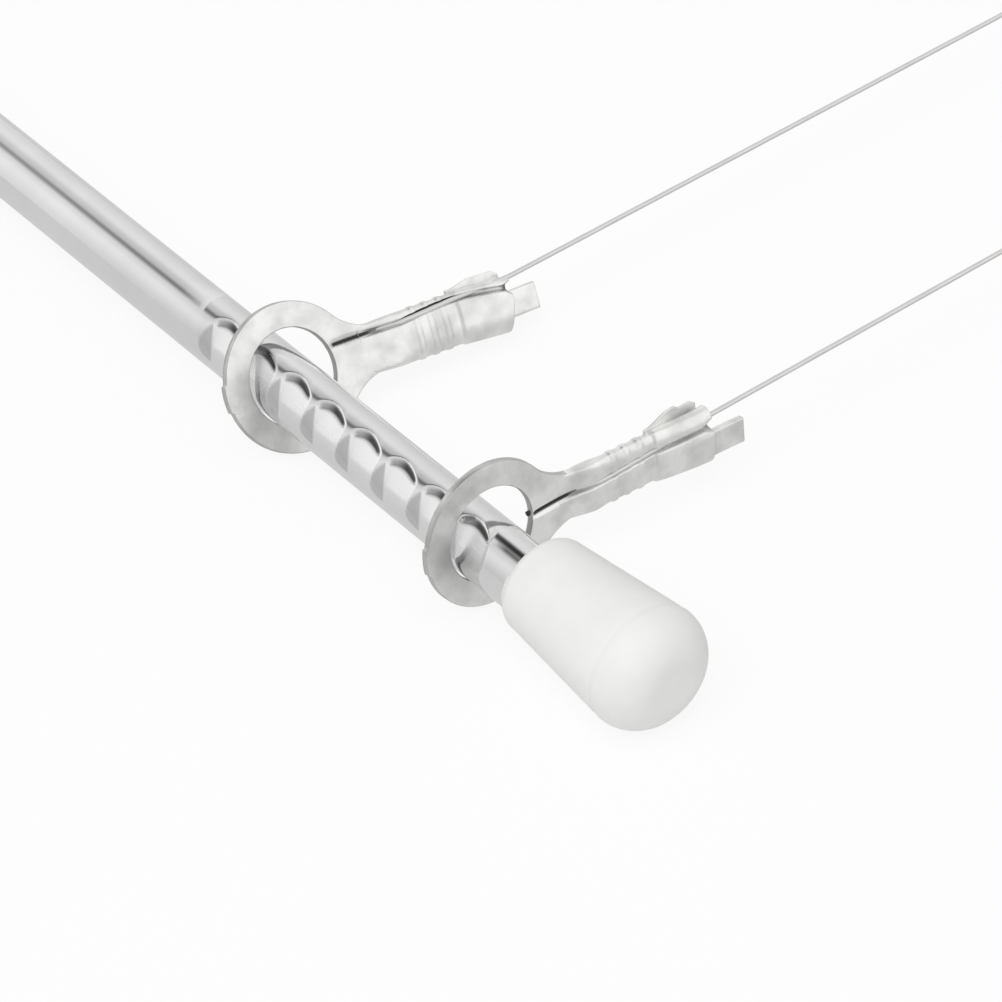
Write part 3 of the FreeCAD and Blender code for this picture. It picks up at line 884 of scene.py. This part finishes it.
def wire_shell(wires, lug, seat):
    """Round wire: sunk in each lug's neck, rising into the seam, straight from upper roll to upper roll."""
    plan = LugPlan(lug, seat)
    pressed_in = 0.62
    radius = wires.diameter / 2
    neck = plan.neck_end - MM
    sunk = lug.sheet / 2 + radius - wires.sink
    crimp_level = lug.crimp_height - lug.sheet / 2 - pressed_in * wires.diameter
    exit_level = (lug.wing_height + lug.sheet) / 2 - wires.diameter
    local = np.array([
        [lug.hole / 2 - wires.overhang, seat.seam, sunk],
        [neck, plan.seam_height(neck), sunk],
        [plan.crimp_start, plan.seam_height(plan.crimp_start), crimp_level],
        [plan.wing_start, plan.seam_height(plan.wing_start), crimp_level],
        [plan.tail, lug.tail_seam + seat.exit_rise, exit_level],
    ])
    place, turned = lug_place(seat)
    left = local @ turned + place
    line = bent_line(np.concatenate([left, (left * MIRROR)[::-1]]), wires.bend)
    ahead = np.gradient(line, axis=0)
    ahead = ahead / np.linalg.norm(ahead, axis=1)[:, None]
    side = np.cross(ahead, UP)
    side = side / np.linalg.norm(side, axis=1)[:, None]
    up = np.cross(side, ahead)
    turn = full_turn(WIRE_POINTS)[None, :, None]
    rings = line[:, None, :] + radius * (np.cos(turn) * side[:, None, :] + np.sin(turn) * up[:, None, :])
    dirt_and_shade = np.zeros(rings.shape[:2])
    dirt_and_shade[[0, -1]] = 1
    return Shell(rings, dirt_and_shade=dirt_and_shade)


# Finishes

def plug(tree, socket, value):
    """Link an input socket to the value where that is a socket too, and set it otherwise."""
    if isinstance(value, bpy.types.NodeSocket):
        tree.links.new(value, socket)
    else:
        socket.default_value = value


def set_sockets(tree, node, **sockets):
    """Link or set a node's input sockets by their names, with a low line for each space."""
    for name, value in sockets.items():
        plug(tree, node.inputs[name.replace("_", " ")], value)


def add_node(tree, kind, settings=None, **sockets):
    """New shader node with its settings and input sockets set."""
    node = tree.nodes.new(kind)
    for name, value in (settings or {}).items():
        setattr(node, name, value)
    set_sockets(tree, node, **sockets)
    return node


def new_finish(name):
    """Empty node material with its principled shader."""
    material = bpy.data.materials.new(name)
    material.use_nodes = True
    tree = material.node_tree
    return material, tree, tree.nodes["Principled BSDF"]


def mark(tree, name):
    """What the surface's points carry under that name: the dark paint, which is mostly painted shade with
    some dirt, or the wear.
    """
    return add_node(tree, "ShaderNodeAttribute", {"attribute_name": name}).outputs["Fac"]


def noise(tree, place, size, detail=2.0):
    """Noise with features of about the size given."""
    return add_node(tree, "ShaderNodeTexNoise", Vector=place, Scale=1 / size, Detail=detail).outputs["Fac"]


def drawn_out(tree, place, factor):
    """The place with its first direction scaled by the factor, so that a pattern is drawn out along it."""
    return add_node(tree, "ShaderNodeMapping", Vector=place, Scale=(factor, 1, 1)).outputs["Vector"]


def ranged(tree, value, old, new=(0, 1)):
    """The value's old range taken to a new range, and held there."""
    node = add_node(tree, "ShaderNodeMapRange", Value=value, From_Min=old[0], From_Max=old[1],
                    To_Min=new[0], To_Max=new[1])
    return node.outputs["Result"]


def worked(tree, operation, *values):
    """Result of a sum on the values, by the name of Blender's operation."""
    node = add_node(tree, "ShaderNodeMath", {"operation": operation})
    for socket, value in zip(node.inputs, values):
        plug(tree, socket, value)
    return node.outputs["Value"]


def mixed(tree, part, first, second):
    """Colour from first to second. Each may be a colour or a socket."""
    node = add_node(tree, "ShaderNodeMix", {"data_type": "RGBA"}, Factor=part)
    sockets = {socket.identifier: socket for socket in (*node.inputs, *node.outputs)}
    for name, value in (("A_Color", first), ("B_Color", second)):
        plug(tree, sockets[name], value if isinstance(value, bpy.types.NodeSocket) else (*value, 1))
    return sockets["Result_Color"]


def bumped(tree, height, depth):
    """Normal that follows a height from 0 to 1 of the depth given."""
    return add_node(tree, "ShaderNodeBump", Height=height, Distance=depth, Strength=1).outputs["Normal"]


def grey(level):
    """Colour of one level in all three parts."""
    return (level, level, level)


def dimmed(shade, level):
    """The colour made darker by the level."""
    return tuple(level * part for part in shade)


def polished_tube(finish):
    """Bright polished tube: drawing lines along it, small dull clouds and rougher press marks."""
    material, tree, shader = new_finish("polished_tube")
    surface = add_node(tree, "ShaderNodeTexCoord").outputs
    lines = noise(tree, drawn_out(tree, surface["UV"], 0.02), size=0.12 * MM)
    clouds = noise(tree, surface["Object"], size=6 * MM, detail=3)
    wear = mark(tree, "wear")
    bright = mixed(tree, ranged(tree, clouds, (0.35, 0.7)), finish.polish, dimmed(finish.polish, 0.95))
    polish_rough = ranged(tree, clouds, (0.3, 0.75), (0.07, 0.13))
    worn_rough = ranged(tree, wear, (0, 0.64), (0, 0.3))
    # Base colour darkened by the points' dark paint: painted shade in the notches and the short dark streak
    # by the foot
    set_sockets(tree, shader,
                Base_Color=mixed(tree, mark(tree, "dirt_and_shade"), bright, finish.soot),
                Roughness=worked(tree, "MAXIMUM", polish_rough, worn_rough),
                Metallic=ranged(tree, wear, (0, 1), (1, 0.3)),
                Normal=bumped(tree, lines, 0.0006 * MM))
    return material


def tinned_sheet(finish):
    """Pale tinned sheet: blotchy dull patches, shallow dents, a fine grain and painted shade in the seam,
    the hollow and by the leg.
    """
    material, tree, shader = new_finish("tinned_sheet")
    place = add_node(tree, "ShaderNodeTexCoord").outputs["Object"]
    blotches = noise(tree, place, size=3 * MM, detail=6)
    dents = noise(tree, place, size=1.4 * MM, detail=1)
    grain = noise(tree, place, size=0.12 * MM, detail=3)
    dents_over_grain = 10
    bare = mixed(tree, ranged(tree, blotches, (0.4, 0.75)), finish.tin, finish.tin_dark)
    relief = worked(tree, "MULTIPLY_ADD", dents, dents_over_grain, grain)
    set_sockets(tree, shader,
                Base_Color=mixed(tree, mark(tree, "dirt_and_shade"), bare, finish.soot),
                Roughness=ranged(tree, blotches, (0.3, 0.75), (0.24, 0.42)),
                Metallic=1,
                Normal=bumped(tree, relief, 0.005 * MM))
    return material


def drawn_wire(finish):
    """Hard-drawn steel wire with fine lines along it and dark cut ends."""
    material, tree, shader = new_finish("drawn_wire")
    surface = add_node(tree, "ShaderNodeTexCoord").outputs["UV"]
    lines = noise(tree, drawn_out(tree, surface, 0.01), size=0.05 * MM)
    clean = mixed(tree, ranged(tree, lines, (0.35, 0.7)), finish.drawn, dimmed(finish.drawn, 0.8))
    set_sockets(tree, shader,
                Base_Color=mixed(tree, mark(tree, "dirt_and_shade"), clean, finish.soot),
                Roughness=ranged(tree, lines, (0.3, 0.7), (0.22, 0.36)),
                Metallic=1,
                Normal=bumped(tree, lines, 0.004 * MM))
    return material


def white_rubber(finish):
    """Matt white rubber: faint mottling and a fine moulded grain."""
    material, tree, shader = new_finish("white_rubber")
    place = add_node(tree, "ShaderNodeTexCoord").outputs["Object"]
    mottle = noise(tree, place, size=4 * MM, detail=4)
    grain = noise(tree, place, size=0.25 * MM, detail=3)
    skin = mixed(tree, ranged(tree, mottle, (0.35, 0.75)), finish.rubber, finish.rubber_dark)
    set_sockets(tree, shader,
                Base_Color=skin,
                Roughness=ranged(tree, mottle, (0.3, 0.7), (0.5, 0.62)),
                Specular_IOR_Level=0.35,
                Normal=bumped(tree, grain, 0.01 * MM))
    return material


def pale_floor(stage):
    """White floor: mostly plain white to the camera and in gloss, with paint that keeps a soft shadow."""
    material, tree, shader = new_finish("pale_floor")
    path = add_node(tree, "ShaderNodeLightPath").outputs
    clear = worked(tree, "MAXIMUM", path["Is Glossy Ray"], path["Is Transmission Ray"])
    seen = worked(tree, "MAXIMUM", path["Is Camera Ray"], clear)
    paper = noise(tree, add_node(tree, "ShaderNodeTexCoord").outputs["Object"], size=40 * MM, detail=3)
    set_sockets(tree, shader,
                Base_Color=mixed(tree, paper, grey(0.88), grey(0.92)),
                Roughness=0.9,
                Specular_IOR_Level=0)
    glow = add_node(tree, "ShaderNodeEmission", Color=(*grey(1), 1),
                    Strength=ranged(tree, clear, (0, 1), (1, stage.floor_gloss)))
    joined = add_node(tree, "ShaderNodeMixShader", Fac=ranged(tree, seen, (0, 1), (0, stage.whiteness)))
    tree.links.new(shader.outputs["BSDF"], joined.inputs[1])
    tree.links.new(glow.outputs["Emission"], joined.inputs[2])
    tree.links.new(joined.outputs["Shader"], tree.nodes["Material Output"].inputs["Surface"])
    return material


# Studio

# Brightness of the studio overhead as gloss shows it: turn about Y from the upright in degrees, level
SKY_BAND = ((-90, 0.64), (-40, 0.86), (-20, 0.74), (-3, 0.14), (11, 0.56), (40, 0.84), (90, 0.70))

# Levels of the studio's front and rear, and how much of the band shows in the rear
FRONT_LEVEL = 0.68
REAR_LEVEL = 1.05
REAR_BAND = 0.55

# Where the studio's parts pass over into each other: the direction's Y, Y and X, and the turn about Y
FRONT_TO_BAND = (-0.25, 0.25)
BAND_TO_REAR = (0.63, 0.75)
FRONT_TO_WHITE = (-0.7, 0.1)
REAR_TO_BAND = (-0.6, -0.2)


def studio_band(tree, turn):
    """The band's brightness at a turn about Y, eased from stop to stop."""
    band = add_node(tree, "ShaderNodeValToRGB", Fac=ranged(tree, turn, (-np.pi, np.pi)))
    stops = band.color_ramp.elements
    band.color_ramp.interpolation = "EASE"
    for index, (degrees, level) in enumerate(SKY_BAND):
        stop = stops[index] if index < 2 else stops.new(1)
        stop.position = 0.5 + degrees / 360
        stop.color = (*grey(level), 1)
    return band.outputs["Color"]


def studio_world(stage):
    """Even soft light, a white background, and a studio overhead that only gloss shows.

    The studio's band runs along Y. A direction's turn about Y is the arc tangent of its X over its Z, and
    the band's stops give the brightness at each turn. Towards -Y it passes over into a plain front that is
    dimmer on the left. Far along +Y it is fainter, and bright to the left.
    """
    world = bpy.data.worlds.new("studio")
    world.use_nodes = True
    tree = world.node_tree
    path = add_node(tree, "ShaderNodeLightPath").outputs
    direction = add_node(tree, "ShaderNodeTexCoord").outputs["Generated"]
    axes = add_node(tree, "ShaderNodeSeparateXYZ", Vector=direction).outputs
    turn = worked(tree, "ARCTAN2", axes["X"], axes["Z"])
    band = studio_band(tree, turn)
    front = mixed(tree, ranged(tree, axes["X"], FRONT_TO_WHITE), grey(FRONT_LEVEL), grey(1))
    near = mixed(tree, ranged(tree, axes["Y"], FRONT_TO_BAND), front, band)
    rear = mixed(tree, ranged(tree, turn, REAR_TO_BAND, (0, REAR_BAND)), grey(REAR_LEVEL), band)
    gloss = mixed(tree, ranged(tree, axes["Y"], BAND_TO_REAR), near, rear)
    light = mixed(tree, path["Is Glossy Ray"], grey(stage.ambient), gloss)
    seen = worked(tree, "MAXIMUM", path["Is Camera Ray"], path["Is Transmission Ray"])
    set_sockets(tree, tree.nodes["Background"], Color=mixed(tree, seen, light, grey(1)), Strength=1)
    bpy.context.scene.world = world


# Stage

def make_floor(stage):
    """Flat floor just under the part."""
    gap = 0.02 * MM
    half = stage.floor_side / 2
    level = CAD_BOX[0][2] - gap
    corners = [(-half, -half, level), (half, -half, level), (half, half, level), (-half, half, level)]
    mesh = bpy.data.meshes.new("floor")
    mesh.from_pydata(corners, [], [(0, 1, 2, 3)])
    mesh.materials.append(pale_floor(stage))
    floor = bpy.data.objects.new("floor", mesh)
    bpy.context.scene.collection.objects.link(floor)


def make_key(stage):
    """Large soft lamp above the left leg, in front of it."""
    lamp = bpy.data.lights.new("key", "AREA")
    lamp.energy = stage.key_power
    lamp.size = stage.key_side
    key = bpy.data.objects.new("key", lamp)
    place = Vector(stage.key_place)
    aim = Vector((-LEG_X, SOLE_Y, LEG_Z))
    turned = (aim - place).to_track_quat("-Z", "Y").to_matrix().to_4x4()
    key.matrix_world = Matrix.Translation(place) @ turned
    key.visible_glossy = False
    bpy.context.scene.collection.objects.link(key)


def make_camera(stage):
    """Camera at the photograph's place, from its turn, its look down and its roll."""
    photo_side = 1002
    data = bpy.data.cameras.new("camera")
    data.sensor_width = 36
    data.lens = stage.focal_pixels * data.sensor_width / photo_side
    data.clip_start = 10 * MM
    camera = bpy.data.objects.new("camera", data)
    turn = Matrix.Rotation(stage.azimuth, 4, "Z")
    look = Matrix.Rotation(math.pi / 2 - stage.elevation, 4, "X")
    roll = Matrix.Rotation(stage.roll, 4, "Z")
    camera.matrix_world = Matrix.Translation(stage.eye) @ turn @ look @ roll
    bpy.context.scene.collection.objects.link(camera)
    bpy.context.scene.camera = camera


# Operators

class LEVELER_OT_bow(bpy.types.Operator):
    """Make the polished bow with its pressed notches"""

    bl_idname = "leveler.bow"
    bl_label = "Bow"

    def execute(self, context):
        scene = context.scene
        put_piece("bow_tube", [bow_shell(scene.leveler_bow)], polished_tube(scene.leveler_finish),
                  "bow_frame", "bow")
        return {"FINISHED"}


class LEVELER_OT_feet(bpy.types.Operator):
    """Make the two rubber feet"""

    bl_idname = "leveler.feet"
    bl_label = "Feet"

    def execute(self, context):
        scene = context.scene
        rubber = white_rubber(scene.leveler_finish)
        for name, side in SIDES:
            shell = foot_shell(scene.leveler_foot)
            if side > 0:
                shell.mirror()
            put_piece(name + "_rubber_foot", [shell], rubber, name + "_foot", "bow")
        return {"FINISHED"}


class LEVELER_OT_lugs(bpy.types.Operator):
    """Make the four crimped lugs"""

    bl_idname = "leveler.lugs"
    bl_label = "Lugs"

    def execute(self, context):
        scene = context.scene
        tin = tinned_sheet(scene.leveler_finish)
        for wire in SEATS:
            seat = getattr(scene.leveler_wires, wire)
            plan = LugPlan(scene.leveler_lug, seat)
            for name, side in SIDES:
                shells = [plate_shell(plan), barrel_shell(plan), tab_shell(plan), leaf_shell(plan)]
                shells = [set_shell(shell, seat, side) for shell in shells]
                put_piece(wire + "_" + name + "_crimped_lug", shells, tin,
                          wire + "_" + name + "_lug", wire + "_wire_set")
        return {"FINISHED"}


class LEVELER_OT_wires(bpy.types.Operator):
    """Make the two cutting wires"""

    bl_idname = "leveler.wires"
    bl_label = "Wires"

    def execute(self, context):
        scene = context.scene
        steel = drawn_wire(scene.leveler_finish)
        for wire in SEATS:
            seat = getattr(scene.leveler_wires, wire)
            shell = wire_shell(scene.leveler_wires, scene.leveler_lug, seat)
            put_piece(wire + "_cutting_wire", [shell], steel, wire + "_wire", wire + "_wire_set")
        return {"FINISHED"}


class LEVELER_OT_stage(bpy.types.Operator):
    """Set up the floor, the light and the camera"""

    bl_idname = "leveler.stage"
    bl_label = "Stage"

    def execute(self, context):
        scene = context.scene
        stage = scene.leveler_stage
        scene.view_settings.view_transform = "Standard"
        make_floor(stage)
        studio_world(stage)
        make_key(stage)
        make_camera(stage)
        return {"FINISHED"}


class LEVELER_PT_panel(bpy.types.Panel):
    """Buttons and sizes of the leveler"""

    bl_idname = "LEVELER_PT_panel"
    bl_label = "Leveler"
    bl_space_type = "VIEW_3D"
    bl_region_type = "UI"
    bl_category = "Leveler"

    def draw(self, context):
        for operator in OPERATORS:
            self.layout.operator(operator.bl_idname)
        for name in GROUPS:
            self.list_values(getattr(context.scene, name))

    def list_values(self, group):
        """List a group's values, and under a label of their own those of a group inside it."""
        for key in group.__annotations__:
            value = getattr(group, key)
            if isinstance(value, bpy.types.PropertyGroup):
                self.layout.label(text=group.bl_rna.properties[key].name)
                self.list_values(value)
            else:
                self.layout.prop(group, key)


OPERATORS = (LEVELER_OT_bow, LEVELER_OT_feet, LEVELER_OT_lugs, LEVELER_OT_wires, LEVELER_OT_stage)
GROUPS = {
    "leveler_bow": BowSizes,
    "leveler_foot": FootSizes,
    "leveler_lug": LugSizes,
    "leveler_wires": WireSizes,
    "leveler_finish": FinishColours,
    "leveler_stage": StageSettings,
}
CLASSES = (WireSeat, *GROUPS.values(), *OPERATORS, LEVELER_PT_panel)


def register():
    """Register the classes and put their settings on the scene."""
    for item in CLASSES:
        bpy.utils.register_class(item)
    for name, group in GROUPS.items():
        pointer = PointerProperty(name=group.__name__, description=group.__doc__, type=group)
        setattr(bpy.types.Scene, name, pointer)


def unregister():
    """Undo what register did."""
    for name in GROUPS:
        delattr(bpy.types.Scene, name)
    for item in reversed(CLASSES):
        bpy.utils.unregister_class(item)


def main():
    """Build the whole scene."""
    register()
    for wire, values in SEATS.items():
        seat = getattr(bpy.context.scene.leveler_wires, wire)
        for name, value in values.items():
            setattr(seat, name, value)
    bpy.ops.leveler.bow()
    bpy.ops.leveler.feet()
    bpy.ops.leveler.lugs()
    bpy.ops.leveler.wires()
    bpy.ops.leveler.stage()


if __name__ == "__main__":
    main()
